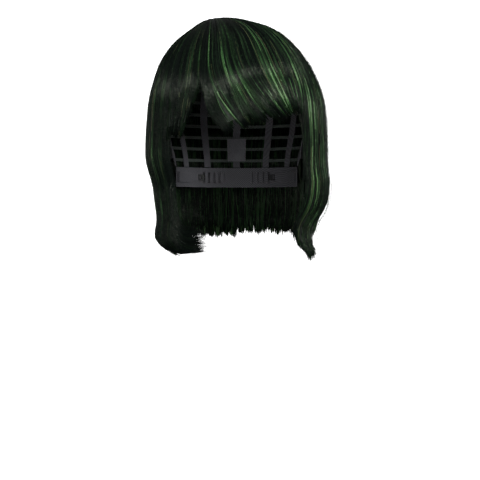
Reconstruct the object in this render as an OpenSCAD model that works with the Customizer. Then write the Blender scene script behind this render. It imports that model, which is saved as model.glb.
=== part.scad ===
// Costume bob wig: a stretch cap with open wefting at the back and sides, the hair sewn to it in
// swinging sections, bendable ear tabs, and two hook adjusters at the nape.
// Frame: the origin is the centre of the head opening at the hat line, +Z up, the face towards -Y.
// A bearing is the angle round the head: 0 at the forehead, 90 over the right-hand side (+X), 180 at
// the nape. A height is measured along the cap's meridian from the hat line: above it the height
// becomes an elevation on the dome, below it the height is plain Z.

/* [Head] */
// Width of the head that the cap fits
head_w = 148; // [142:1:154]
// Length of the head from forehead to back
head_l = 190; // [184:1:198]
// Height of the crown above the hat line
head_h = 80; // [76:1:86]
// Radius of the nape where the nape band lies
nape_r = 64; // [60:1:67]

/* [Cap] */
// Thickness of the cap's bands, ribbons and net
cloth_t = 0.9; // [0.6:0.1:1.0]
// Height of the forehead edge, along the cap from the hat line
forehead_h = 38; // [30:1:44]
// Width of the forehead band
band_w = 12; // [9:1:14]
// Width of the nape band
nape_band_w = 20; // [18:1:24]
// Length of an ear tab
tab_l = 40; // [34:1:44]
// Vertical ribbons on each side of the middle one
side_ribbons = 4; // [2:1:4]

/* [Wefts] */
// Number of weft rows round the back and sides
weft_rows = 10; // [6:1:10]
// Distance from one weft row to the next
weft_pitch = 12; // [11:0.5:12]
// Width of a weft's stitched track
track_w = 3; // [2:0.5:4]

/* [Hair] */
// Depth of the hair at the sides of the head, at the hat line
hair_side = 15; // [14.5:0.5:18]
// Depth of the hair over the forehead
hair_front = 13; // [12.5:0.5:16]
// Depth of the hair behind the head
hair_back = 16; // [15:1:20]
// Depth of the hair over the crown
hair_top = 12.5; // [11:0.5:15]
// Lowest point of the side hair, below the hat line
side_drop = 148; // [130:1:160]
// Lowest point of the back hair, below the hat line
back_drop = 123; // [110:1:128]
// Lowest point of the fringe, below the hat line
fringe_drop = 26; // [16:1:30]

/* [Swing] */
// How far a lock of the fringe lifts
fringe_swing = 35; // [10:1:35]
// How far the hair beside the face and over the ears lifts
side_swing = 25; // [10:1:30]
// How far the hair behind the head lifts
back_swing = 20; // [10:1:25]

/* [Adjusters] */
// Width of an adjuster strap
strap_w = 8; // [6:0.5:8]
// Number of hook loops on each side of the nape
loops = 4; // [3:1:4]
// Angle from one hook loop to the next
loop_pitch = 5.5; // [5:0.5:6]

/* [Hidden] */

cap_color = "#1c1c1f";
elastic_color = "#262629";
plastic_color = "#101012";
label_color = "#3a3a3e";
hair_color = "#0e1711";
lock_color = "#16351a";

rx = head_w / 2;
ry = head_l / 2;
quarter = head_h * PI / 2; // the dome's meridian from the hat line to the top
nape_z = -60; // where the cap has narrowed to the nape's circle
grid = 6; // bearing from one column of facets to the next

// Layers, as distances out from the head
cloth_at = 1.1;
track_at = cloth_at + cloth_t + 0.6;
track_t = 1.5;
hair_at = track_at + track_t + 0.9;

// The cap's edge
tab_top = -6;
tab_bearing = 77;
tab_half = 9.5;
arch_from = 90;
arch_to = 112;
nape_top = nape_z + 4;

// The hair's hanging sections, as the bearings they run between where they are rooted. Those on the
// right-hand side have mirror images on the left.
fringe_left = [-48.5, -24.5];
fringe_middle = [-23.5, -0.8];
fringe_right = [0.8, 48];
cheek_part = [50, 78];
side_part = [79, 109];
back_part = [110, 156];
middle_part = [157, 203];
fringe_t = 7.6; // depth of the fringe
hair_t = 9.5; // depth of the other hanging sections, at their top
fringe_root_z = 32;
root_z = 4;
root_gap = 1.3; // between a hanging section and the crown hair, where it is rooted
corner = 49; // the crown hair's edge steps down here, from the fringe to the cheek

// The crown's whorl, which the hair falls from
whorl = [-24, 8];

function mix(a, b, t) = a + (b - a) * t;
function ease(t) = let (k = max(0, min(1, t))) k * k * (3 - 2 * k);
function elevation(h) = 90 * max(0, h) / quarter;
function height_at(z) = z < 0 ? z : asin(z / head_h) * quarter / 90;
function on_oval(bearing, half_x, half_y, z) = [half_x * sin(bearing), -half_y * cos(bearing), z];

// A point on the cap, at a distance out from the head
function head_point(bearing, h, out) =
    let (
        up = elevation(h),
        narrow = ease(h / nape_z),
        half_x = mix(rx, nape_r, narrow) + out,
        half_y = mix(ry, nape_r, narrow) + out
    )
    on_oval(bearing, half_x * cos(up), half_y * cos(up), h < 0 ? h : (head_h + out) * sin(up));

// A point above the cap's top, from its place in plan
function crown_point(x, y, out) =
    [x, y, (head_h + out) * sqrt(1 - pow(x / (rx + out), 2) - pow(y / (ry + out), 2))];

// The hair's outer face: a dome above the hat line that leans left at its top, and curtains below
side_swell = 2.5;
side_swell_z = -45; // the sides are widest here
back_swell = 1.2;
back_swell_z = -25; // the back is deepest here
chin_z = -120;
chin_back = 18; // how far the front falls back from the hat line to the chin
function curtain_x(z) = rx + hair_side + side_swell - side_swell * pow((z - side_swell_z) / side_swell_z, 2);
function curtain_back(z) = ry + hair_back + back_swell - back_swell * pow((z - back_swell_z) / back_swell_z, 2);
function curtain_front(z) = ry + hair_front - chin_back * ease(z / chin_z);
// The dome narrows a little above the hat line, and leans left in two steps, by elevation
function dome_shoulder(up) = 1 - 0.033 * ease(up / 20);
function dome_lean(up) = -3.3 * ease(up / 42) - 10 * ease((up - 55) / 30);
function hair_point(bearing, h, deep) =
    let (
        up = elevation(h),
        z = min(0, h),
        half_x = (curtain_x(z) - deep) * dome_shoulder(up),
        half_y = (cos(bearing) > 0 ? curtain_front(z) : curtain_back(z)) - deep
    )
    on_oval(bearing, half_x * cos(up), half_y * cos(up), h < 0 ? h : (head_h + hair_top - deep) * sin(up))
        + [dome_lean(up), 0, 0];

// Lower edge of the cap, as a height, by bearing from 0 to 180
function cap_edge(bearing) =
    bearing <= 68 ? mix(forehead_h, tab_top, ease(bearing / 68))
    : bearing <= arch_from + 6 ? mix(tab_top, tab_top - 2, ease((bearing - 68) / 28))
    : mix(tab_top - 2, nape_top, ease((bearing - arch_from - 6) / (arch_to - arch_from - 6)));

// Lower edge of the closed net: down to the forehead band in front, and up to the open wefting behind
net_edge_h = 56;
function net_edge(bearing) =
    let (b = bearing > 180 ? 360 - bearing : bearing)
    b <= 48 ? cap_edge(b) + band_w + 0.5 : mix(cap_edge(48) + band_w + 0.5, net_edge_h, ease((b - 48) / 24));

// Closed solid between an inner and an outer face, each a function of u along and v up, from 0 to 1.
// A ring joins its last column to its first, and an apex closes its top row to one point.
module sheet(cols, rows, inner, outer, ring = false, apex = false) {
    n = ring ? cols : cols + 1;
    m = apex ? rows : rows + 1;
    function id(face, i, j) = (face * n + i % n) * m + j;
    function quad(a, b, c, d) = [[a, b, c], [a, c, d]];
    face_points = [for (f = [inner, outer]) for (i = [0:n - 1]) for (j = [0:m - 1]) f(i / cols, j / rows)];
    tips = apex ? [inner(0, 1), outer(0, 1)] : [];
    in_tip = 2 * n * m;
    skins = [for (i = [0:cols - 1]) for (j = [0:m - 2]) each concat(
        quad(id(1, i, j), id(1, i, j + 1), id(1, i + 1, j + 1), id(1, i + 1, j)),
        quad(id(0, i, j), id(0, i + 1, j), id(0, i + 1, j + 1), id(0, i, j + 1))
    )];
    bottom = [for (i = [0:cols - 1]) each quad(id(1, i, 0), id(1, i + 1, 0), id(0, i + 1, 0), id(0, i, 0))];
    top = [for (i = [0:cols - 1]) each apex
        ? [[id(1, i, m - 1), in_tip + 1, id(1, i + 1, m - 1)], [id(0, i, m - 1), id(0, i + 1, m - 1), in_tip]]
        : quad(id(1, i + 1, m - 1), id(1, i, m - 1), id(0, i, m - 1), id(0, i + 1, m - 1))];
    ends = ring ? [] : [for (j = [0:m - 2]) each concat(
        quad(id(1, 0, j + 1), id(1, 0, j), id(0, 0, j), id(0, 0, j + 1)),
        quad(id(1, cols, j), id(1, cols, j + 1), id(0, cols, j + 1), id(0, cols, j))
    )];
    polyhedron(concat(face_points, tips), concat(skins, bottom, top, ends));
}

// Cloth on the cap between two bearings, from a low to a high edge that are functions of bearing
module cap_cloth(from, to, low, high, rows, out = cloth_at, thick = cloth_t) {
    function at(u, v, extra) =
        let (b = mix(from, to, u), folded = b > 180 ? 360 - b : abs(b))
        head_point(b, mix(low(folded), high(folded), v), out + extra);
    sheet(ceil((to - from) / grid), rows, function (u, v) at(u, v, 0), function (u, v) at(u, v, thick));
}

// A flat bar bent round the nape, exact: from and to are bearings, in and out are radii
module nape_bar(from, to, in, out, low, high) {
    rotate([0, 0, from - 90])
        rotate_extrude(angle = to - from, $fn = 144)
            translate([in, low])
                square([out - in, high - low]);
}

// Draws the right-hand piece, or its mirror image on the left
module on_side(side) {
    mirror([side == "left" ? 1 : 0, 0, 0])
        children();
}

// ---- Cap ----

module crown_net() {
    function at(u, v, out) = let (b = 360 * u) head_point(b, mix(net_edge(b), quarter, v), out);
    color(cap_color)
        sheet(360 / grid, 6, function (u, v) at(u, v, cloth_at), function (u, v) at(u, v, cloth_at + cloth_t),
            ring = true, apex = true);
}

// Oval skin patch under the whorl
module whorl_patch() {
    half = [14, 20];
    function at(u, v, out) = let (a = 360 * u, r = 1 - v)
        crown_point(whorl.x + half.x * r * cos(a), whorl.y + half.y * r * sin(a), out);
    color(label_color)
        sheet(24, 3, function (u, v) at(u, v, track_at), function (u, v) at(u, v, track_at + 0.6),
            ring = true, apex = true);
}

// A weft sewn in an oval round the whorl
module crown_track(half) {
    function at(u, v, out) = let (a = 360 * u, wide = track_w * (1 - v))
        crown_point(whorl.x + (half.x + wide) * cos(a), whorl.y + (half.y + wide) * sin(a), out);
    color(hair_color)
        sheet(36, 1, function (u, v) at(u, v, track_at), function (u, v) at(u, v, track_at + track_t), ring = true);
}

module forehead_band() {
    color(cap_color)
        cap_cloth(-88, 88, function (b) cap_edge(b), function (b) cap_edge(b) + band_w, 2);
}

// Soft strip inside the forehead band
module comfort_strip() {
    color(label_color)
        cap_cloth(-42, 42, function (b) cap_edge(b) + 1.5, function (b) cap_edge(b) + band_w - 1.5, 2,
            out = 0.1, thick = 0.6);
}

// Elastic edge that rises over the ear and drops behind it to the nape band
module ear_arch() {
    color(elastic_color)
        cap_cloth(arch_from, arch_to - 1, function (b) cap_edge(b), function (b) cap_edge(b) + arch_w(b), 3);
}
function arch_w(bearing) = mix(8, 14, ease((bearing - arch_from - 6) / 8));

module nape_band() {
    color(elastic_color)
        nape_bar(arch_to, 360 - arch_to, nape_r + cloth_at, nape_r + cloth_at + cloth_t,
            nape_top - nape_band_w, nape_top);
}

module care_label() {
    color(label_color)
        cap_cloth(172, 188, function (b) nape_top + 7, function (b) nape_top + 31, 3, out = 0.1, thick = 0.5);
}

// Tongue of cloth in front of the ear, narrowing to a round end
tab_gap = 3; // below the forehead band's lowest point, so that the tab can fold out
module ear_tab() {
    function half(v) = tab_half * sqrt(1 - 0.85 * pow(1 - v, 4));
    function at(u, v, out) =
        head_point(tab_bearing + (2 * u - 1) * half(v), tab_top - tab_gap - tab_l * (1 - v), out);
    color(cap_color)
        sheet(4, 8, function (u, v) at(u, v, cloth_at), function (u, v) at(u, v, cloth_at + cloth_t));
}

// Vertical elastic ribbon from the net's edge down to the cap's edge
module ribbon(bearing) {
    folded = bearing > 180 ? 360 - bearing : bearing;
    bottom = folded < arch_from ? cap_edge(folded) + band_w + 1
        : folded < arch_to ? cap_edge(folded - grid / 2) + arch_w(folded) + 1.5
        : nape_top + 0.5;
    color(elastic_color)
        cap_cloth(bearing - grid / 2, bearing + grid / 2, function (b) bottom, function (b) net_edge_h - 0.5, 9);
}
function ribbon_bearing(k) = 180 - 24 * k - 3;

// ---- Wefts ----

function row_height(k) = 46 - weft_pitch * (k - 1);
function row_start(h) = h > tab_top ? 60 : 100 + 12 * (tab_top - h) / 44;

module weft_track(k) {
    h = row_height(k);
    start = row_start(h);
    color(hair_color)
        cap_cloth(start, 360 - start, function (b) h, function (b) h + track_w, 1,
            out = track_at, thick = track_t);
}

module fringe_track(k) {
    h = forehead_h + band_w * k - 4;
    color(hair_color)
        cap_cloth(-48, 48, function (b) h, function (b) h + track_w, 1, out = track_at, thick = track_t);
}

// ---- Nape adjusters, on a circle round the Z axis ----

strap_z = nape_top - nape_band_w / 2;
strap_in = nape_r - 0.6;
strap_t = 0.8;
strap_from = 113;
strap_to = 146;
channel_to = 133;
band_in = nape_r + cloth_at - 0.05;
hook_from = strap_to - 4;
hook_tip = strap_to + 5;
loop_wide = 2.7;

module strap() {
    color(elastic_color)
        nape_bar(strap_from, strap_to, strap_in, strap_in + strap_t, strap_z - strap_w / 2, strap_z + strap_w / 2);
}

// Moulded hook: a tongue sewn on the strap's end, with a window for the stitches and a raised lip
module hook() {
    tongue_in = strap_in - 0.85;
    color(plastic_color)
        difference() {
            union() {
                nape_bar(hook_from, hook_tip, tongue_in, tongue_in + 0.8, strap_z - 3, strap_z + 3);
                nape_bar(hook_tip - 1, hook_tip, tongue_in - 0.6, tongue_in + 0.4, strap_z - 2, strap_z + 2);
            }
            nape_bar(hook_from + 1, hook_from + 2.4, tongue_in - 1, tongue_in + 2, strap_z - 1.8, strap_z + 1.8);
        }
}

// A staple of ribbon over the strap's path
module strap_staple(from, to, roof_in, roof_out) {
    wall = 0.6;
    clear = strap_w / 2 + 0.5;
    difference() {
        nape_bar(from, to, roof_in, band_in, strap_z - clear - wall, strap_z + clear + wall);
        nape_bar(from - 1, to + 1, roof_out, band_in + 1, strap_z - clear, strap_z + clear);
    }
}

// Tape along the band, with a loop for each setting of the hook
module hook_loops() {
    first = hook_tip - 1.5 - loop_wide / 2;
    tape_z = strap_w / 2 + 1.1;
    color(elastic_color) {
        nape_bar(first, first + loop_pitch * (loops - 1) + loop_wide, band_in - 0.4, band_in,
            strap_z - tape_z, strap_z + tape_z);
        for (k = [0:loops - 1])
            strap_staple(first + loop_pitch * k, first + loop_pitch * k + loop_wide, strap_in - 2.6, strap_in - 2.0);
    }
}

module strap_channel() {
    color(cap_color)
        strap_staple(strap_from, channel_to, strap_in - 0.9, strap_in - 0.4);
}

// ---- Hair ----

// The upright plane that a hanging section swings out from: its middle and its direction
function root_line(part, root, thick, inward) =
    let (
        a = hair_point(part[0], height_at(root), thick),
        b = hair_point(part[1], height_at(root), thick),
        along = (b - a) / norm(b - a)
    )
    [(a + b) / 2 - inward * [along.y, -along.x, 0], along];

// How far a section's top edge rises as it swings out
function rise(bearing, part, root, thick, inward, swing, deep) =
    let (
        line = root_line(part, root, thick, inward),
        reach = hair_point(bearing, height_at(root), deep) - line[0]
    )
    max(0, reach.x * line[1].y - reach.y * line[1].x) * sin(swing);

fringe_inward = -2;
hair_inward = 2;
function between(part, next) = (part[1] + next[0]) / 2;
function fringe_rise(bearing, deep) =
    let (
        part = bearing < between(fringe_left, fringe_middle) ? fringe_left
            : bearing < between(fringe_middle, fringe_right) ? fringe_middle
            : fringe_right
    )
    rise(bearing, part, fringe_root_z, fringe_t, fringe_inward, fringe_swing, deep);
function side_rise(bearing, deep) =
    let (
        b = bearing > 180 ? 360 - bearing : bearing,
        at_side = b < between(side_part, back_part),
        part = b < between(cheek_part, side_part) ? cheek_part
            : at_side ? side_part
            : b < between(back_part, middle_part) ? back_part
            : middle_part
    )
    rise(b, part, root_z, hair_t, hair_inward, at_side ? side_swing : back_swing, deep);

// Crown hair: a thick dome, its lower edge cut back to let the hanging sections swing under it
module crown_hair() {
    front_cols = 16;
    back_cols = 43;
    function bearing(u) = let (i = round(u * (front_cols + back_cols + 1)) % (front_cols + back_cols + 1))
        i <= front_cols ? mix(-corner, corner, i / front_cols)
        : mix(corner + 0.4, 359.6 - corner, (i - front_cols - 1) / (back_cols - 1));
    function edge(b, outer) = b <= corner
        ? height_at(fringe_root_z + root_gap + fringe_rise(b, outer ? 0 : fringe_t))
        : height_at(root_z + root_gap + side_rise(b, outer ? 0 : hair_t));
    function at(u, v, outer) =
        let (b = bearing(u), h = mix(edge(b, outer), quarter, v))
        outer ? hair_point(b, h, 0) : head_point(b, h, hair_at);
    color(hair_color)
        sheet(front_cols + back_cols + 1, 8, function (u, v) at(u, v, false), function (u, v) at(u, v, true),
            ring = true, apex = true);
}

// A hanging section of hair between two bearings, from its root to a tip that depends on the bearing.
// front moves its front edge, inward draws its lower end in towards the neck, and aside sweeps it round
// the head, all by height.
module section(part, root, thick, tip, tint, rows = 9, front = function (z) 0, inward = function (b, z) 0,
    aside = function (b, z) 0) {
    cols = ceil((part[1] - part[0]) / 4);
    function at(u, v, outer) =
        let (
            b = mix(part[0] + front(mix(-side_drop, root, v)), part[1], u),
            h = mix(tip(b), height_at(root), v),
            thin = mix(0.5, 1, sqrt(v))
        )
        hair_point(b + aside(b, h), h, inward(b, h) + (outer ? 0 : thick * thin));
    color(tint)
        sheet(cols, rows, function (u, v) at(u, v, false), function (u, v) at(u, v, true));
}

// The fringe parts above the left eye. Its middle lock sweeps down to the right.
parting = -24;
parting_z = 14; // the fringe's lower edge rises to this height at the parting
function fringe_edge(b) = mix(-fringe_drop, parting_z, ease((b + 38) / 14)) - 26 * ease((b + 22.5) / 4)
    - 15 * ease((b + 19.5) / 9) + 5 * ease((b + 8) / 8) + 8.5 * ease(b / 12) + 9 * ease((b - 31) / 6);

// How far the fringe has swept aside by a height: to both sides next to its parting, and further on more
// and more to the right
function fall(z, top, power) = pow(max(0, min(1.2, (top - z) / (top + 20))), power);
function sweep(b, z) = b < parting ? -10 * (1 - ease((parting - b) / 22)) * fall(z, 17, 0.9)
    : (mix(10, 18, ease((b - parting) / 7)) + 13 * ease((b + 8) / 12)) * max(0, min(1, 1 - (b - 8) / 40))
        * fall(z, mix(12, 52, ease((b - parting) / 9)), 1.9);

// Height where a swept line of the fringe meets its lower edge, by halving
function fringe_tip(b, low = -32, high = 15, steps = 9) =
    let (z = (low + high) / 2)
    steps == 0 ? max(z, -fringe_drop)
    : z > fringe_edge(b + sweep(b, z)) ? fringe_tip(b, low, z, steps - 1) : fringe_tip(b, z, high, steps - 1);

module fringe_hair(part) {
    section(part, fringe_root_z, fringe_t, function (b) fringe_tip(b),
        part == fringe_middle ? lock_color : hair_color, rows = 8, aside = function (b, z) sweep(b, z));
}

// The left side draws in to a waist and its ends turn under towards the neck. The right side draws in
// lower down, and its ends flick out.
curl_z = -121;
curl_r = 27;
function waist(z) = 6.2 * (ease((-z - 46) / 34) - ease((-z - 106) / 24));
function turn_under(z) = waist(z) + curl_r * (1 - sqrt(1 - pow(min(0.985, max(0, curl_z - z) / curl_r), 2)));
function flick(z) = 8.5 * ease((-z - 86) / 36) - 1.5 * ease((-z - 55) / 30) * ease((110 + z) / 24)
    - 3 * ease((-z - 124) / 14) - 7 * ease((-z - 137) / 9);
function ends_in(side, b, z) = side == "left" ? turn_under(z) * (1 - ease((b - 90) / 50))
    : flick(z) * (1 - ease((b - 84) / 26));
function side_tip(side, b) = side == "left" ? mix(-side_drop + 1, -back_drop, ease((b - 86) / 54))
    : mix(-side_drop, -back_drop, ease((b - 64) / 40));
function side_front(side, z) = side == "left" ? 0 : 12 * ease((chin_z - z) / 28); // narrows the right lock

module cheek_hair(side) {
    section(cheek_part, root_z, hair_t, function (b) side_tip(side, b), lock_color, rows = 16,
        front = function (z) side_front(side, z), inward = function (b, z) ends_in(side, b, z));
}

module side_hair(side) {
    section(side_part, root_z, hair_t, function (b) side_tip(side, b), hair_color, rows = 14,
        inward = function (b, z) ends_in(side, b, z));
}

module back_hair(side) {
    section(back_part, root_z, hair_t, function (b) side_tip(side, b), hair_color, rows = 12,
        inward = function (b, z) ends_in(side, b, z));
}

module middle_hair() {
    section(middle_part, root_z, hair_t, function (b) -back_drop, hair_color, rows = 10);
}

// Under-layer that hangs from the lowest wefts, inside the back hair
module nape_hair() {
    low = 5 - back_drop;
    high = -22;
    function at(u, v, outer) =
        let (b = mix(120, 240, u), h = mix(low, high, v))
        mix(hair_point(b, h, outer ? 10.5 : 15), head_point(b, h, outer ? hair_at + 6 : hair_at), ease(v));
    color(hair_color)
        sheet(120 / grid, 8, function (u, v) at(u, v, false), function (u, v) at(u, v, true));
}

// ---- Nodes ----

crown_net();
whorl_patch();
forehead_band();
comfort_strip();
nape_band();
care_label();
ribbon(180);  // ribbon_middle
crown_track([20, 26]);  // crown_track_inner
crown_track([32, 40]);  // crown_track_outer
crown_hair();
fringe_hair(fringe_left);  // fringe_hair_left
fringe_hair(fringe_middle);  // fringe_hair_middle
fringe_hair(fringe_right);  // fringe_hair_right
middle_hair();  // back_hair_middle
nape_hair();
for (k = [1:3])
    fringe_track(k);
for (k = [1:weft_rows])
    weft_track(k);
for (side = ["left", "right"]) {
    on_side(side) ear_tab();
    on_side(side) ear_arch();
    on_side(side) strap();
    on_side(side) hook();
    on_side(side) hook_loops();
    on_side(side) strap_channel();
    on_side(side) cheek_hair(side);
    on_side(side) side_hair(side);
    on_side(side) back_hair(side);
    for (k = [1:side_ribbons])
        on_side(side) ribbon(ribbon_bearing(k));
}
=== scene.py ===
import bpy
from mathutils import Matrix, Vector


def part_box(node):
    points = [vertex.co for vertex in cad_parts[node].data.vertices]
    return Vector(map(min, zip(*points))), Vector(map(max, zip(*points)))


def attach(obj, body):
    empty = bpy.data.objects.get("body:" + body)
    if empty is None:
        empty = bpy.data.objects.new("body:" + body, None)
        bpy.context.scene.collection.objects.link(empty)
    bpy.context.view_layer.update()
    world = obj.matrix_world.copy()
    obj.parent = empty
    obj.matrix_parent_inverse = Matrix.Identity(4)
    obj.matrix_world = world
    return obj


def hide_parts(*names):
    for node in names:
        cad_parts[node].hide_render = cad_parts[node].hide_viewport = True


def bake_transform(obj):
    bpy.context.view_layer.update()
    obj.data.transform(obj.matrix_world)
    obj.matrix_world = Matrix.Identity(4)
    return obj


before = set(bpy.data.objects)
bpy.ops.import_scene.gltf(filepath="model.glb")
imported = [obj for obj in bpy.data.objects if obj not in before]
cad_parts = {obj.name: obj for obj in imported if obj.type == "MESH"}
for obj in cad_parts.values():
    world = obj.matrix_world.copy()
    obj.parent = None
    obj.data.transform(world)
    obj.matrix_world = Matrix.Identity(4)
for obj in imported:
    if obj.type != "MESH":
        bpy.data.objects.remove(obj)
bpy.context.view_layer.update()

import math

import bmesh
import bpy
import numpy as np
from mathutils import Vector

rng = np.random.default_rng(11)
MM = 0.001

# ---------------------------------------------------------------- the CAD's sizes, in metres

side_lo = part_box("side_hair_left")[0]
crown_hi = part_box("crown_hair")[1]
back_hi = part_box("back_hair_middle")[1]
band_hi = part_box("forehead_band")[1]
net_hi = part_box("crown_net")[1]

SWELL, SWELL_Z = 2.5 * MM, -45 * MM   # how far the sides swell out below the hat line, and where
BACK_SWELL, BACK_SWELL_Z = 1.2 * MM, 25 * MM
CHIN_BACK, CHIN_Z = 18 * MM, 120 * MM  # how far the front edge draws back, and how far down
HALF_X = -side_lo.x - SWELL           # the hair's outer face at the hat line
BACK_Y = back_hi.y - BACK_SWELL
FRONT_Y = BACK_Y - 3 * MM
TOP_Z = crown_hi.z
HEAD_X = band_hi.x - 2.0 * MM
HEAD_Y = BACK_Y - 16 * MM
HEAD_TOP = net_hi.z - 2.0 * MM
NAPE_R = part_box("nape_band")[1].x / math.sin(math.radians(112)) - 2.0 * MM
NAPE_Z = -60 * MM
HAIR_IN = 5 * MM                      # from the head to the inside of the hair
SECTION_T = 9.5 * MM
FRINGE_T = 7.6 * MM
FRINGE_ROOT_Z = 32 * MM
ROOT_Z = 4 * MM
BACK_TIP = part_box("back_hair_middle")[0].z
SIDE_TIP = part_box("cheek_hair_right")[0].z
FRINGE_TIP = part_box("fringe_hair_left")[0].z
WHORL = np.array([-24 * MM, 8 * MM])
ROUND = 6.28                          # about one turn, in radians
rad, deg = np.radians, np.degrees

# bearings in degrees: where the fringe parts, where a slit opens in it, and where it ends
PARTING, SLIT, CORNER = -24.5, -18.5, 49.0


def mix(a, b, t):
    return a + (b - a) * t


def ease(t):
    k = np.clip(t, 0, 1)
    return k * k * (3 - 2 * k)


# ---------------------------------------------------------------- the hair's outer face

def curtain(bearing, z):
    """Half width and half length of the hair at a height."""
    below = np.minimum(z, 0)
    half_x = HALF_X + SWELL - SWELL * ((below - SWELL_Z) / SWELL_Z) ** 2
    back = BACK_Y + BACK_SWELL - BACK_SWELL * ((below + BACK_SWELL_Z) / BACK_SWELL_Z) ** 2
    front = FRONT_Y - CHIN_BACK * ease(-below / CHIN_Z)
    return half_x, np.where(np.cos(rad(bearing)) > 0, front, back)


def shoulder(up):
    """The dome's width at an elevation, as a share of the hat line's, before it curves in."""
    return 1 - 0.033 * ease(up / 20)


def lean(up):
    """The dome leans to the left, most of all at its top."""
    return (-3.3 * ease(up / 42) - 10 * ease((up - 55) / 30)) * MM


def hair_point(bearing, up, z, deep):
    """A point as deep inside the hair's outer face as deep says. up is the elevation on the dome, and
    where up is 0, z is the height."""
    half_x, half_y = curtain(bearing, z)
    x = (half_x * shoulder(up) - deep) * np.cos(rad(up)) * np.sin(rad(bearing)) + lean(up)
    y = -(half_y - deep) * np.cos(rad(up)) * np.cos(rad(bearing))
    return np.stack([x, y, np.where(up > 0, (TOP_Z - deep) * np.sin(rad(up)), z)], -1)


def head_point(bearing, z, out):
    """A point on the cap below the hat line, or on its dome above it, out from the head."""
    narrow = ease(z / NAPE_Z)
    up = np.where(z > 0, deg(np.arcsin(np.clip(z / HEAD_TOP, 0, 1))), 0)
    half_x = mix(HEAD_X, NAPE_R, narrow) + out
    half_y = mix(HEAD_Y, NAPE_R, narrow) + out
    return np.stack([half_x * np.cos(rad(up)) * np.sin(rad(bearing)),
                     -half_y * np.cos(rad(up)) * np.cos(rad(bearing)),
                     np.where(z > 0, (HEAD_TOP + out) * np.sin(rad(up)), z)], -1)


def dome_place(xy):
    """Bearing and elevation of the dome's points above the places xy in plan."""
    up = np.full(xy.shape[:-1], 45.0)
    for _ in range(14):
        a = (xy[..., 0] - lean(up)) / (HALF_X * shoulder(up))
        b = xy[..., 1] / np.where(xy[..., 1] < 0, FRONT_Y, BACK_Y)
        up = mix(up, deg(np.arccos(np.clip(np.hypot(a, b), 0, 1))), 0.6)
    return deg(np.arctan2(a, -b)) % 360, up


# ---------------------------------------------------------------- where each strand goes

def signed(bearing):
    """The same bearing, from -180 to 180."""
    return (bearing + 180) % 360 - 180


def fall(z, top, power):
    """How far hair that starts to sweep aside at a height has swept by the height z."""
    return np.clip((top - z / MM) / (top + 20), 0, 1.2) ** power


def sweep(bearing, z):
    """How far a strand of the fringe has swept aside by a height, in degrees. Next to its parting it
    parts low down, to both sides. From there on it sweeps to the right, most of all above the right
    eye, and a narrow slit opens in it low down."""
    b = signed(bearing)
    left = -6.5 * (1 - ease((PARTING - b) / 22)) * fall(z, 17, 0.9)
    most = mix(10, 18, ease((b - PARTING) / 7)) + 13 * ease((b + 8) / 12)
    starts = mix(12, 52, ease((b - PARTING) / 9))
    right = most * np.clip(1 - (b - 8) / 40, 0, 1) * fall(z, starts, 1.9)
    slit = 2.2 * ease(b - SLIT + 0.5) * (1 - ease((b - SLIT) / 12))
    right = right + slit * fall(z, 13, 1)
    return mix(left, right, ease((b - PARTING + 0.6) / 1.2)) * (np.abs(b) < CORNER)


def fringe_edge(bearing):
    """Height of the fringe's lower edge. It rises to a point at the parting."""
    z = mix(FRINGE_TIP / MM - 1, 14, ease((bearing + 38) / 14))
    z = z - 26 * ease((bearing + 22.5) / 4) - 19 * ease((bearing + 19.5) / 9)
    z = z + 8 * ease((bearing + 8) / 8) + 8.5 * ease(bearing / 12) + 9 * ease((bearing - 31) / 6)
    return z * MM


# the left ends: the height where they turn under, the turn's radius and angle, and the length of
# strand below that height
CURL_Z, CURL_R, CURL_ANGLE, CURL_RUN = -123 * MM, 20 * MM, 1.62, 45 * MM


def turned_share(bearing):
    """How much of the turn the hair's ends take: all of it beside the left cheek, and none behind."""
    b = signed(bearing)
    return (1 - ease((-b - 92) / 48)) * (b < -CORNER)


def hair_edge(bearing):
    """How far down each strand runs. Where the ends turn under, it counts along the strand."""
    b = signed(bearing)
    left = mix(BACK_TIP, CURL_Z - CURL_RUN, turned_share(b))
    shorter = 24 * MM * (1 - ease((b - 48) / 15))
    right = mix(SIDE_TIP + 3 * MM, BACK_TIP + 3 * MM, ease((b - 66) / 30)) + shorter
    return np.where(np.abs(b) < CORNER, fringe_edge(b), np.where(b < 0, left, right))


def turn_under(bearing, run, lag=0.0):
    """Height and inward reach of the left side's hair, which turns under along an arc and then runs
    level. lag is how much higher up the inner strands turn."""
    share = turned_share(bearing)
    down = -run / MM
    waist = 6.2 * MM * (ease((down - 46) / 34) - ease((down - 106) / 24)) * (share > 0) * ease(share * 3)
    after = np.maximum(0, CURL_Z + lag - run)
    angle = np.minimum(after / CURL_R, CURL_ANGLE)
    rest = after - angle * CURL_R
    z = np.maximum(run, CURL_Z + lag) - CURL_R * np.sin(angle) - rest * np.cos(angle)
    reach = CURL_R * (1 - np.cos(angle)) + rest * np.sin(angle)
    return mix(run, z, share), waist + reach * share


def draw_in(bearing, z):
    """How far the right side draws in, before its ends flick out."""
    b = signed(bearing)
    down = -z / MM
    flick = 8.5 * ease((down - 86) / 36) - 3.3 * ease((down - 52) / 24) * ease((116 - down) / 16)
    flick = flick - 5 * ease((down - 122) / 14) - 10 * ease((down - 134) / 12)
    return flick * (1 - ease((b - 84) / 26)) * (b > CORNER) * MM


def hanging_point(bearing, up, run, deep, lag=0.0):
    """A point on hair that hangs below the hat line, by how far down the strand it is."""
    z, inward = turn_under(bearing, run, lag)
    return hair_point(bearing, up, z, deep + inward + draw_in(bearing, run))


TIP_SPACING = 0.85                    # below 1, a strand's points lie closer together towards its tip


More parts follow.
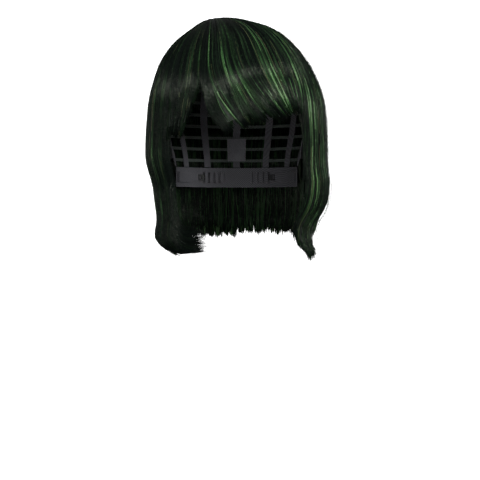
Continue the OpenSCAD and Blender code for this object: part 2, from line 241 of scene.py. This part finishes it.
def resample(path, count, stop=None):
    """Points along each path by its length, as far as stop, which counts the path's steps."""
    step = np.linalg.norm(np.diff(path, axis=1), axis=2)
    run = np.concatenate([np.zeros((len(path), 1)), np.cumsum(step, axis=1)], axis=1)
    at = np.arange(path.shape[1])
    out = np.empty((len(path), count, path.shape[2]))
    for i in range(len(path)):
        end = run[i, -1] if stop is None else np.interp(stop[i], at, run[i])
        want = np.linspace(0, 1, count) ** TIP_SPACING * end
        for k in range(path.shape[2]):
            out[i, :, k] = np.interp(want, run[i], path[i, :, k])
    return out


class Locks:
    """The locks that the hair falls in, each about as wide as width in degrees, with random values that
    the strands of a lock share."""

    def __init__(self, width, partings=()):
        n = int(360 / width)
        edges = np.linspace(-181, 181, n + 1) + rng.uniform(-0.3, 0.3, n + 1) * width
        for parting in partings:
            edges = edges[np.abs(edges - parting) > 0.6 * width]
        self.edges = np.sort(np.concatenate([edges, partings]))
        self.values = rng.random((len(self.edges), 5))

    def of(self, bearing):
        """For each bearing: its lock's middle, how far off that it is, and the lock's random values."""
        b = signed(bearing)
        k = np.clip(np.searchsorted(self.edges, b, side="right") - 1, 0, len(self.edges) - 2)
        centre = (self.edges[k] + self.edges[k + 1]) / 2
        return centre, (b - centre) * 2 / (self.edges[k + 1] - self.edges[k]), self.values[k]


WIDE_LOCKS = Locks(6.0, (PARTING, SLIT))
FINE_LOCKS = Locks(1.25, (PARTING,))


DOME_POINTS, HANG_POINTS = 24, 48     # a path's points on the dome, and below the hat line


def hair_paths(bearing, start, ragged, deep, lag, count):
    """Strands from the crown over the dome and down to the hair's lower edge. start is 0 at the whorl and
    1 at the hat line, and deep holds the depth at the root, in the middle and at the tip."""
    n = len(bearing)
    along = start[:, None] + (1 - start[:, None]) * np.linspace(0, 1, DOME_POINTS)[None, :]
    target = hair_point(bearing, np.zeros(n), np.zeros(n), deep[1])[:, :2]
    xy = WHORL + (target - WHORL)[:, None, :] * along[..., None]
    b_dome, up_dome = dome_place(xy)
    wide, wide_off, wide_rand = WIDE_LOCKS.of(bearing)
    fine, _, fine_rand = FINE_LOCKS.of(bearing)
    own = signed(bearing)[:, None]
    lowest = hair_edge(bearing).min() - 6 * MM
    low = np.linspace(0, 1, HANG_POINTS + 1)[1:] * lowest
    b = np.concatenate([own + signed(signed(b_dome) - own), np.repeat(own, HANG_POINTS, 1)], 1)
    up = np.concatenate([up_dome, np.zeros((n, HANG_POINTS))], 1)
    run = np.concatenate([np.zeros((n, DOME_POINTS)), np.repeat(low[None, :], n, 0)], 1)
    height = np.where(up > 0, TOP_Z * np.sin(rad(up)), run)
    down = ease((60 * MM - height) / (60 * MM - lowest))
    b = b + sweep(own, height)
    pull = mix(0.1, 1, ease(np.abs(own - PARTING) / 4))
    gather = 0.28 * down ** 1.5
    gather = np.where(np.abs(own) < CORNER, gather + 0.22 * down ** 6, gather)
    b = b + gather * pull * (wide[:, None] - own) + down * (fine[:, None] - own) * 0.5
    b = b + down * (wide_rand[:, 0:1] - 0.5) * 2.6 * np.sin(wide_rand[:, 1:2] * ROUND + down * 5)
    b = b + down * rng.normal(0, 0.7, (n, 1)) * np.sin(rng.random((n, 1)) * ROUND + down * 7)
    near = np.clip(b, signed(bearing).min() - 3, signed(bearing).max() + 60)
    edge = hair_edge(near) + ragged[:, None] + lag[:, None]
    under = height - np.maximum(edge, lowest)
    first = np.argmax(under < 0, axis=1)
    first = np.where((under < 0).any(axis=1), first, under.shape[1] - 1)
    first = np.maximum(first, 3)
    rows = np.arange(n)
    before, after = under[rows, first - 1], under[rows, first]
    stop = first - 1 + np.clip(before / np.maximum(before - after, 1e-9), 0.05, 1)
    t = np.arange(b.shape[1])[None, :] / stop[:, None]
    depth = mix(deep[0][:, None], deep[1][:, None], ease(t / 0.3))
    depth = mix(depth, deep[2][:, None], ease((t - 0.45) / 0.55))
    depth = depth + (wide_off ** 2)[:, None] * down * 1.8 * MM
    depth = depth + fine_rand[:, 2:3] * mix(0.6, 1.6, down) * MM
    return resample(hanging_point(b, up, run, depth, lag[:, None]), count, stop)


# ---------------------------------------------------------------- strands as thin closed tubes

def link(name, data):
    obj = bpy.data.objects.new(name, data)
    bpy.context.scene.collection.objects.link(obj)
    return obj


def mesh_object(name, bm, material):
    mesh = bpy.data.meshes.new(name)
    bm.to_mesh(mesh)
    bm.free()
    mesh.materials.append(material)
    return link(name, mesh)


# each strand's width lies square to a line out from here, whose rise is cut to this share
HEAD_MIDDLE = np.array([0, 0, -40 * MM])
RISE_SHARE = 0.35


def strand_mesh(name, paths, width, tone):
    """One mesh of three-sided strands. tone picks the material of each strand's pieces, root to tip."""
    n, count, _ = paths.shape
    tangent = np.gradient(paths, axis=1)
    tangent /= np.linalg.norm(tangent, axis=2, keepdims=True) + 1e-12
    out = paths - HEAD_MIDDLE
    out[..., 2] *= RISE_SHARE
    across = np.cross(tangent, out)
    across /= np.linalg.norm(across, axis=2, keepdims=True) + 1e-12
    lift = np.cross(across, tangent)
    t = np.linspace(0, 1, count)[None, :, None]
    taper = mix(0.55, 1, ease(t / 0.12)) * mix(1, 0.35, ease((t - 0.90) / 0.10))
    w = width[:, None, None] * taper
    side = across * w * 0.5
    ring = np.stack([paths - side, paths + side, paths + lift * w * 0.42], 2)
    verts = ring.reshape(-1, 3)
    base = (np.arange(n)[:, None] * count + np.arange(count - 1)[None, :]) * 3
    quads = []
    for a, b in ((0, 1), (1, 2), (2, 0)):
        quads.append(np.stack([base + a, base + b, base + 3 + b, base + 3 + a], -1))
    quads = np.stack(quads, 2).reshape(-1, 4)
    first = np.arange(n) * count * 3
    last = first + (count - 1) * 3
    caps = np.concatenate([np.stack([first + 2, first + 1, first], -1),
                           np.stack([last, last + 1, last + 2], -1)])
    mesh = bpy.data.meshes.new(name)
    mesh.vertices.add(len(verts))
    mesh.vertices.foreach_set("co", verts.astype(np.float32).ravel())
    loops = np.concatenate([quads.ravel(), caps.ravel()]).astype(np.int32)
    mesh.loops.add(len(loops))
    mesh.loops.foreach_set("vertex_index", loops)
    sizes = np.concatenate([np.full(len(quads), 4), np.full(len(caps), 3)]).astype(np.int32)
    mesh.polygons.add(len(sizes))
    starts = np.concatenate([[0], np.cumsum(sizes)[:-1]])
    mesh.polygons.foreach_set("loop_start", starts.astype(np.int32))
    mesh.update(calc_edges=True)
    spans = np.repeat(tone[:, :count - 1], 3, axis=1).ravel()
    slots = np.concatenate([spans, tone[:, 0], tone[:, -1]])
    mesh.polygons.foreach_set("material_index", slots.astype(np.int32))
    mesh.polygons.foreach_set("use_smooth", np.ones(len(sizes), dtype=bool))
    for m in HAIR_TONES + [HAIR_OLIVE_GLINT]:
        mesh.materials.append(m)
    mesh.validate()
    return link(name, mesh)


# ---------------------------------------------------------------- materials

def node_material(name, color, roughness, specular=0.4):
    m = bpy.data.materials.new(name)
    m.use_nodes = True
    p = m.node_tree.nodes["Principled BSDF"]
    p.inputs["Base Color"].default_value = (*color, 1)
    p.inputs["Roughness"].default_value = roughness
    p.inputs["Specular IOR Level"].default_value = specular
    return m, m.node_tree, p


def noise(tree, scale):
    coords = tree.nodes.new("ShaderNodeTexCoord")
    tex = tree.nodes.new("ShaderNodeTexNoise")
    tex.inputs["Scale"].default_value = scale
    tex.inputs["Detail"].default_value = 3
    tree.links.new(coords.outputs["Object"], tex.inputs["Vector"])
    return tex.outputs["Fac"]


def spread(tree, source, low, high):
    """The source's usual range, stretched to run from low to high."""
    span = tree.nodes.new("ShaderNodeMapRange")
    span.inputs["From Min"].default_value = 0.3
    span.inputs["From Max"].default_value = 0.7
    span.inputs["To Min"].default_value = low
    span.inputs["To Max"].default_value = high
    tree.links.new(source, span.inputs["Value"])
    return span.outputs["Result"]


def hair_tone(name, color, roughness, specular):
    """Synthetic fibre or plastic, whose gloss varies a little from place to place."""
    m, tree, p = node_material(name, color, roughness, specular)
    gloss = spread(tree, noise(tree, 420), specular * 0.5, specular * 1.4)
    tree.links.new(gloss, p.inputs["Specular IOR Level"])
    p.inputs["Anisotropic"].default_value = 0.3
    p.inputs["Specular Tint"].default_value = (0.90, 1.0, 0.80, 1)
    return m


# from near-black to the brightest green, and an olive one that is partly olive fibre and partly painted
# glint
GLOSS, ROUGH = 0.07, 0.24
HAIR_TONES = [
    hair_tone("hair_black", (0.0014, 0.0022, 0.0018), ROUGH, GLOSS),
    hair_tone("hair_dark_green", (0.0030, 0.0060, 0.0032), ROUGH, GLOSS),
    hair_tone("hair_deep_green", (0.0055, 0.0130, 0.0053), ROUGH, GLOSS * 1.2),
    hair_tone("hair_green", (0.0110, 0.027, 0.0100), ROUGH, GLOSS * 1.5),
    hair_tone("hair_bright_green", (0.021, 0.050, 0.017), ROUGH, GLOSS * 2.0),
    hair_tone("hair_light_green", (0.044, 0.088, 0.034), 0.32, GLOSS * 3.0),
]
HAIR_OLIVE_GLINT = hair_tone("hair_olive_glint", (0.022, 0.025, 0.012), ROUGH, GLOSS * 2.5)


def cloth(name, color, weave, roughness=0.85):
    """Fine woven cloth: two crossed sets of threads, in colour and in relief."""
    m, tree, p = node_material(name, color, roughness, 0.25)
    coords = tree.nodes.new("ShaderNodeTexCoord")
    waves = []
    for turn in ("Z", "DIAGONAL"):
        w = tree.nodes.new("ShaderNodeTexWave")
        w.wave_type = "BANDS"
        w.bands_direction = turn
        w.inputs["Scale"].default_value = weave
        w.inputs["Distortion"].default_value = 1.2
        tree.links.new(coords.outputs["Object"], w.inputs["Vector"])
        waves.append(w.outputs["Fac"])
    both = tree.nodes.new("ShaderNodeMath")
    both.operation = "MULTIPLY"
    tree.links.new(waves[0], both.inputs[0])
    tree.links.new(waves[1], both.inputs[1])
    ramp = tree.nodes.new("ShaderNodeValToRGB")
    ramp.color_ramp.elements[0].color = (*[c * 0.45 for c in color], 1)
    ramp.color_ramp.elements[1].color = (*[min(1, c * 1.9) for c in color], 1)
    tree.links.new(both.outputs[0], ramp.inputs["Fac"])
    tree.links.new(ramp.outputs["Color"], p.inputs["Base Color"])
    bump = tree.nodes.new("ShaderNodeBump")
    bump.inputs["Strength"].default_value = 0.35
    bump.inputs["Distance"].default_value = 0.0004
    tree.links.new(both.outputs[0], bump.inputs["Height"])
    tree.links.new(bump.outputs["Normal"], p.inputs["Normal"])
    return m


NET = cloth("stretch_net", (0.028, 0.028, 0.031), 420)
ELASTIC = cloth("ribbed_elastic", (0.030, 0.030, 0.034), 330)
LABEL = cloth("satin_label", (0.06, 0.06, 0.066), 500, 0.5)
WEFT = cloth("stitched_weft", (0.020, 0.026, 0.022), 260)
PLASTIC = hair_tone("moulded_plastic", (0.01, 0.01, 0.011), 0.25, 0.5)
SHELL = hair_tone("under_hair", (0.0025, 0.0035, 0.003), 0.6, 0.15)

# ---------------------------------------------------------------- the hanging sections

SECTIONS = {   # body: CAD node, and the bearings its strands hang between
    "fringe_left": ("fringe_hair_left", -CORNER, PARTING),
    "fringe_middle": ("fringe_hair_middle", PARTING, 0),
    "fringe_right": ("fringe_hair_right", 0, CORNER),
    "cheek_right": ("cheek_hair_right", CORNER + 0.3, 78.5),
    "side_right": ("side_hair_right", 78.5, 109.5),
    "back_right": ("back_hair_right", 109.5, 156.5),
    "back_middle": ("back_hair_middle", 156.5, 203.5),
    "back_left": ("back_hair_left", -156.5, -109.5),
    "side_left": ("side_hair_left", -109.5, -78.5),
    "cheek_left": ("cheek_hair_left", -78.5, -CORNER - 0.3),
}


# the strands that turn under need more points to stay round
CURLED_POINTS = {"cheek_left": 32, "side_left": 32, "back_left": 27}


def is_fringe(body):
    return body.startswith("fringe")


def blob(x, z, centre_x, centre_z, wide, tall):
    """A soft patch in front view, 1 at its middle. The patch is given in millimetres."""
    return np.exp(-((x / MM - centre_x) / wide) ** 2 - ((z / MM - centre_z) / tall) ** 2)


def dye_and_painted_sheen(paths):
    """How green the hair is from place to place: partly dyed strands and partly painted sheen, as the
    fringe's patches lie on its highlight band.
    """
    x, y, z = paths[..., 0], paths[..., 1], paths[..., 2]
    crown = blob(x, z, -12, 50, 30, 42) * 0.30 + blob(x, z, 34, 62, 16, 22) * 0.34
    # painted sheen: these fringe patches sit on the fringe's highlight band, so part of their green
    # stands in for the light's sheen
    fringe = blob(x, z, -12, 8, 22, 20) * 0.42 + blob(x, z, 40, 22, 24, 22) * 0.80
    right = blob(x, z, 80, 12, 13, 20) * 0.7 + blob(x, z, 84, -48, 12, 44)
    right = right + blob(x, z, 76, -110, 10, 24) * 0.9
    left = blob(x, z, -78, 22, 16, 18) * 0.40 + blob(x, z, -81, -44, 9, 22) * 0.5
    left = left + blob(x, z, -78, -95, 8, 15) * 0.5
    front = crown + fringe + right + left
    behind = ease((y + 20 * MM) / (50 * MM))
    return np.maximum(front * mix(1, 0.55, behind), 0.6 * behind) + 0.10


def tones(paths, bearing, most=None):
    """Material numbers along the strands: most are near-black, and green ones come in narrow streaks."""
    n = len(paths)
    wide_rand, fine_rand = WIDE_LOCKS.of(bearing)[2], FINE_LOCKS.of(bearing)[2]
    place = dye_and_painted_sheen(paths)
    place = mix(place.mean(axis=1, keepdims=True), place, 0.55)
    luck = rng.random((n, 1))
    streak = 1.25 * ease((fine_rand[:, 3:4] - 0.5) / 0.45) * mix(0.5, 1.1, wide_rand[:, 3:4])
    streak = streak + 0.9 * luck ** 3
    wave = np.sin(fine_rand[:, 1:2] * ROUND + rng.random((n, 1)) * 2.2 + paths[..., 2] / (11 * MM))
    level = place * streak * (1 + 0.38 * wave) * 5.2 + rng.normal(0.1, 0.35, (n, 1))
    tone = np.clip(np.floor(level), 0, len(HAIR_TONES) - 1).astype(int)
    # a few strands take the olive tone: partly olive fibre, partly painted glints
    olive_glint = (rng.random((n, 1)) < 0.045) & (tone < 4) & (tone > 0)
    tone = np.where(olive_glint, len(HAIR_TONES), tone)
    return tone if most is None else np.minimum(tone, most)


def outer_strands(body, low, high, n):
    """Strands of a section's outer face, from the crown to its lower edge, and a few stray ones."""
    bearing = rng.uniform(low, high, n)
    _, wide_off, wide_rand = WIDE_LOCKS.of(bearing)
    fine_rand = FINE_LOCKS.of(bearing)[2]
    fringe = is_fringe(body)
    start = np.where(rng.random(n) < 0.42, rng.uniform(0.02, 0.14, n), rng.uniform(0.12, 0.72, n))
    under = rng.random(n) ** 1.6
    middle = mix(0.2, 3.4, under) * MM
    root = np.where(start < 0.14, middle + 0.4 * MM, middle + rng.uniform(1.5, 3.5, n) * MM)
    tip = middle + rng.uniform(-0.3, 1.6, n) * MM
    size = 2.6 if fringe else 2.0 if "back" in body else 3.2      # how uneven the tips are, in mm
    ragged = (rng.normal(0, size * 0.7, n) + (wide_rand[:, 2] - 0.5) * size * 1.6
              + (fine_rand[:, 4] - 0.5) * size + (wide_off ** 2 - 0.3) * size * 0.9) * MM
    ragged = ragged * (1 + turned_share(bearing))
    lag = under * 22 * MM * turned_share(bearing)
    wispy = 0.012 + 0.03 * ((signed(bearing) > 66) & (signed(bearing) < 108))
    stray = rng.random(n) < wispy
    middle = np.where(stray, rng.uniform(-2.4, -0.4, n) * MM, middle)
    tip = np.where(stray, rng.uniform(-11, 1, n) * MM * np.where(wispy > 0.02, 1, 0.3), tip)
    lag = np.where(stray, 0, lag)
    points = CURLED_POINTS.get(body, 20 if fringe else 24)
    paths = hair_paths(bearing, start, ragged, (root, middle, tip), lag, points)
    return paths, np.where(stray, 0.22, rng.uniform(0.42, 0.9, n)) * MM, tones(paths, bearing)


def inner_strands(low, high, n):
    """Strands on the inside of a hanging section, rooted under the cap's edge."""
    bearing = signed(rng.uniform(low, high, n))
    fine, _, fine_rand = FINE_LOCKS.of(bearing)
    top = rng.uniform(-4, 12, n) * MM
    lag = rng.uniform(6, 26, n)[:, None] * MM * turned_share(bearing)[:, None]
    tip = hair_edge(bearing) + rng.normal(2, 4, n) * MM + lag[:, 0]
    t = np.linspace(0, 1, 40)[None, :]
    run = mix(top[:, None], tip[:, None], t)
    deep = mix(SECTION_T, SECTION_T * 0.5, np.sqrt(t)) - rng.uniform(0, 2.2, n)[:, None] * MM
    b = bearing[:, None] + t * (fine - bearing)[:, None] * 0.5
    b = b + rng.normal(0, 0.8, n)[:, None] * t * np.sin(fine_rand[:, 3:4] * ROUND + t * 6)
    curve = hanging_point(b, 0 * run, np.minimum(run, 0), deep, lag)
    curve[..., 2] = np.where(run > 0, run, curve[..., 2])
    rooted = head_point(b, run, HAIR_IN + rng.uniform(-0.5, 1.0, n)[:, None] * MM)
    paths = resample(mix(rooted, curve, ease(t / 0.22)[..., None]), 24)
    return paths, rng.uniform(0.5, 1.0, n) * MM, tones(paths, bearing, 2)


def grid_shell(name, across, down, inner, outer):
    """A closed shell between two faces, each a grid of points."""
    a, b = inner(across[:, None], down[None, :]), outer(across[:, None], down[None, :])
    n, m = len(across), len(down)
    bm = bmesh.new()
    faces = [[[bm.verts.new(p) for p in row] for row in face] for face in (a, b)]
    for face, flip in zip(faces, (True, False)):
        for i in range(n - 1):
            for j in range(m - 1):
                ring = [face[i][j], face[i + 1][j], face[i + 1][j + 1], face[i][j + 1]]
                bm.faces.new(ring[::-1] if flip else ring)
    edge = ([(i, 0) for i in range(n)] + [(n - 1, j) for j in range(1, m)]
            + [(i, m - 1) for i in range(n - 2, -1, -1)] + [(0, j) for j in range(m - 2, 0, -1)])
    for k, (i, j) in enumerate(edge):
        p, q = edge[(k + 1) % len(edge)]
        bm.faces.new([faces[0][i][j], faces[0][p][q], faces[1][p][q], faces[1][i][j]])
    bmesh.ops.recalc_face_normals(bm, faces=bm.faces)
    return mesh_object(name, bm, SHELL)


def section_shell(body, low, high):
    """The dark bulk behind a section's strands, which keeps the light out."""
    fringe = is_fringe(body)
    thick = FRINGE_T if fringe else SECTION_T
    top = FRINGE_ROOT_Z + 10 * MM if fringe else ROOT_Z + 10 * MM
    across = np.linspace(low + 0.8, high - 0.8, 9 if fringe else 13)

    def face(b, v, deep_top, deep_tip):
        flat = b + 0 * v
        tip = hair_edge(flat)
        for _ in range(8):
            tip = mix(tip, hair_edge(flat + sweep(flat, tip)), 0.5)
        short = (7 if fringe else 9) + 20 * turned_share(flat)
        z = mix(top, tip + short * MM, v)
        up = deg(np.arcsin(np.clip(z / TOP_Z, 0, 1)))
        deep = mix(deep_top, deep_tip, v)
        lag = 8 * MM * turned_share(flat)
        return hanging_point(flat + sweep(flat, z), up, np.minimum(z, 0), deep, lag)

    return grid_shell(body + "_bulk", across, np.linspace(0, 1, 18),
                      lambda b, v: face(b, v, thick - 1.6 * MM, thick * 0.5 - 0.2 * MM),
                      lambda b, v: face(b, v, 3.6 * MM, 2.6 * MM))


def crown_shell():
    """The dark bulk of the crown, from the whorl down to where the sections hang."""
    across = np.linspace(-180, 180, 73)[:-1]

    def face(v, deep):
        b = across[:, None]
        edge_z = mix(ROOT_Z + 1 * MM, FRINGE_ROOT_Z + 2 * MM, ease((50.5 - np.abs(b)) / 2))
        up = mix(deg(np.arcsin(edge_z / TOP_Z)), 89.7, v[None, :])
        return hair_point(b % 360 + 0 * up, up, 0 * up, deep + 0 * up)

    v = np.linspace(0, 1, 22)
    bm = bmesh.new()
    rings = []
    for deep in (5.8 * MM, 3.2 * MM):
        points = face(v, deep)
        rings.append([[bm.verts.new(p) for p in row] for row in points])
    n = len(across)
    for face_no, ring in enumerate(rings):
        for i in range(n):
            k = (i + 1) % n
            for j in range(len(v) - 1):
                quad = [ring[i][j], ring[k][j], ring[k][j + 1], ring[i][j + 1]]
                bm.faces.new(quad if face_no else quad[::-1])
        lid = [ring[i][-1] for i in range(n)]
        bm.faces.new(lid if face_no else lid[::-1])
    for i in range(n):
        k = (i + 1) % n
        bm.faces.new([rings[0][i][0], rings[0][k][0], rings[1][k][0], rings[1][i][0]])
    bmesh.ops.recalc_face_normals(bm, faces=bm.faces)
    return mesh_object("crown_bulk", bm, SHELL)


def hang(obj):
    """Bakes a piece of hair's transform into its mesh."""
    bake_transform(obj)


quick = 1.0
LINING_DENSITY, NAPE_COUNT = 12, 1900     # strands to a degree of bearing, and in the under-layer
for body, (node, low, high) in SECTIONS.items():
    span = high - low
    density = 26 if "back" in body else 34
    outer = outer_strands(body, low, high, int(span * density * quick))
    hair = strand_mesh(body + "_strands", *outer)
    bulk = section_shell(body, low, high)
    hang(hair)
    hang(bulk)
    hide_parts(node)
    if not is_fringe(body):
        inner = inner_strands(low, high, int(span * LINING_DENSITY * quick))
        lining = strand_mesh(body + "_lining", *inner)
        hang(lining)

crown = crown_shell()
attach(crown, "cap")
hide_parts("crown_hair")


def nape_strands(count):
    """The under-layer, from the weft rows on the nape down inside the back hair."""
    bearing = rng.uniform(119, 241, count)
    fine_rand = FINE_LOCKS.of(bearing)[2]
    row = rng.integers(0, 5, count)
    top = (-14 - 12 * row) * MM
    t = np.linspace(0, 1, 24)[None, :]
    tip = BACK_TIP + rng.normal(9, 2.5, count) * MM
    z = mix(top[:, None], tip[:, None], t)
    out = HAIR_IN + rng.uniform(0, 4, count)[:, None] * MM
    hang_in = rng.uniform(10.5, 15, count)[:, None] * MM
    wander = rng.normal(0, 1.5, count)[:, None] * t
    b = bearing[:, None] + wander * np.sin(fine_rand[:, 3:4] * ROUND + t * 5)
    near = head_point(b, z, out)
    far = hair_point(b, 0 * z, z, hang_in + 0 * z)
    paths = mix(near, far, ease((-22 * MM - z) / (96 * MM))[..., None])
    paths = resample(paths, 16)
    return paths, rng.uniform(0.5, 1.1, count) * MM, tones(paths, bearing, 2)


nape = strand_mesh("nape_strands", *nape_strands(int(NAPE_COUNT * quick)))
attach(nape, "cap")
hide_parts("nape_hair")

# ---------------------------------------------------------------- the cap's materials

for name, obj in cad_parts.items():
    if name.startswith(("weft_track", "fringe_track", "crown_track")):
        choice = WEFT
    elif name.startswith(("hook_left", "hook_right")):
        choice = PLASTIC
    elif name in ("care_label", "comfort_strip", "whorl_patch"):
        choice = LABEL
    elif name.startswith(("crown_net", "forehead_band", "ear_tab")):
        choice = NET
    else:
        choice = ELASTIC
    for s in obj.material_slots:
        s.material = choice

# ---------------------------------------------------------------- floor, light and camera

def stage_material():
    """A white sweep, so evenly lit that it shows no shading."""
    m, _, p = node_material("pale_sweep", (0.86, 0.86, 0.86), 0.9, 0.1)
    p.inputs["Emission Color"].default_value = (1, 1, 1, 1)
    p.inputs["Emission Strength"].default_value = 0.9
    return m


def sweep_floor():
    """A pale round floor that curves up all round, wide enough to look at the wig from any side."""
    floor_z, reach, r, wall_z = -0.36, 2.6, 0.5, 1.6
    profile = [(0.05, floor_z), (reach - r, floor_z)]
    profile += [(reach + r * (math.sin(a) - 1), floor_z + r - r * math.cos(a))
                for a in np.linspace(0.1, 1.57, 14)]
    profile += [(reach, wall_z)]
    bm = bmesh.new()
    turns = np.linspace(0, 2 * math.pi, 73)[:-1]
    rings = [[bm.verts.new((d * math.cos(a), d * math.sin(a), z)) for a in turns] for d, z in profile]
    for low, high in zip(rings, rings[1:]):
        for i in range(len(low)):
            k = (i + 1) % len(low)
            bm.faces.new([low[i], low[k], high[k], high[i]])
    bm.faces.new(rings[0][::-1])
    obj = mesh_object("floor", bm, stage_material())
    for f in obj.data.polygons:
        f.use_smooth = True
    obj.visible_diffuse = False
    obj.visible_glossy = False
    obj.visible_shadow = False


def softbox(name, place, aim, size, power):
    data = bpy.data.lights.new(name, "AREA")
    data.shape = "SQUARE"
    data.size = size
    data.energy = power
    obj = link(name, data)
    obj.location = place
    obj.rotation_euler = (Vector(aim) - Vector(place)).to_track_quat("-Z", "Y").to_euler()


sweep_floor()
softbox("key", (-0.5, -1.95, 1.1), (0, 0, -0.02), 0.5, 95)
softbox("fill", (1.3, -1.7, 0.35), (0, 0, -0.04), 0.6, 70)
softbox("low_fill", (-0.35, -2.1, -0.30), (0, 0, -0.06), 1.0, 36)
softbox("back_left", (-1.5, 1.7, 0.10), (0, 0, -0.04), 0.8, 15)
softbox("back_right", (1.5, 1.7, 0.10), (0, 0, -0.04), 0.8, 28)
softbox("back_low", (0.0, 2.2, -0.20), (0, 0, -0.04), 0.8, 44)

world = bpy.data.worlds.new("studio")
world.use_nodes = True
world.node_tree.nodes["Background"].inputs["Color"].default_value = (1, 1, 1, 1)
world.node_tree.nodes["Background"].inputs["Strength"].default_value = 0.16
bpy.context.scene.world = world

camera = bpy.data.cameras.new("camera")
distance, sensor, picture_width = 2.3, 36, 0.480
camera.sensor_width = sensor
camera.lens = sensor * distance / picture_width
camera_obj = link("camera", camera)
camera_obj.location = (0.0035, -distance, -0.130)
camera_obj.rotation_euler = (math.pi / 2, 0, 0)
bpy.context.scene.camera = camera_obj
bpy.context.scene.view_settings.view_transform = "Standard"
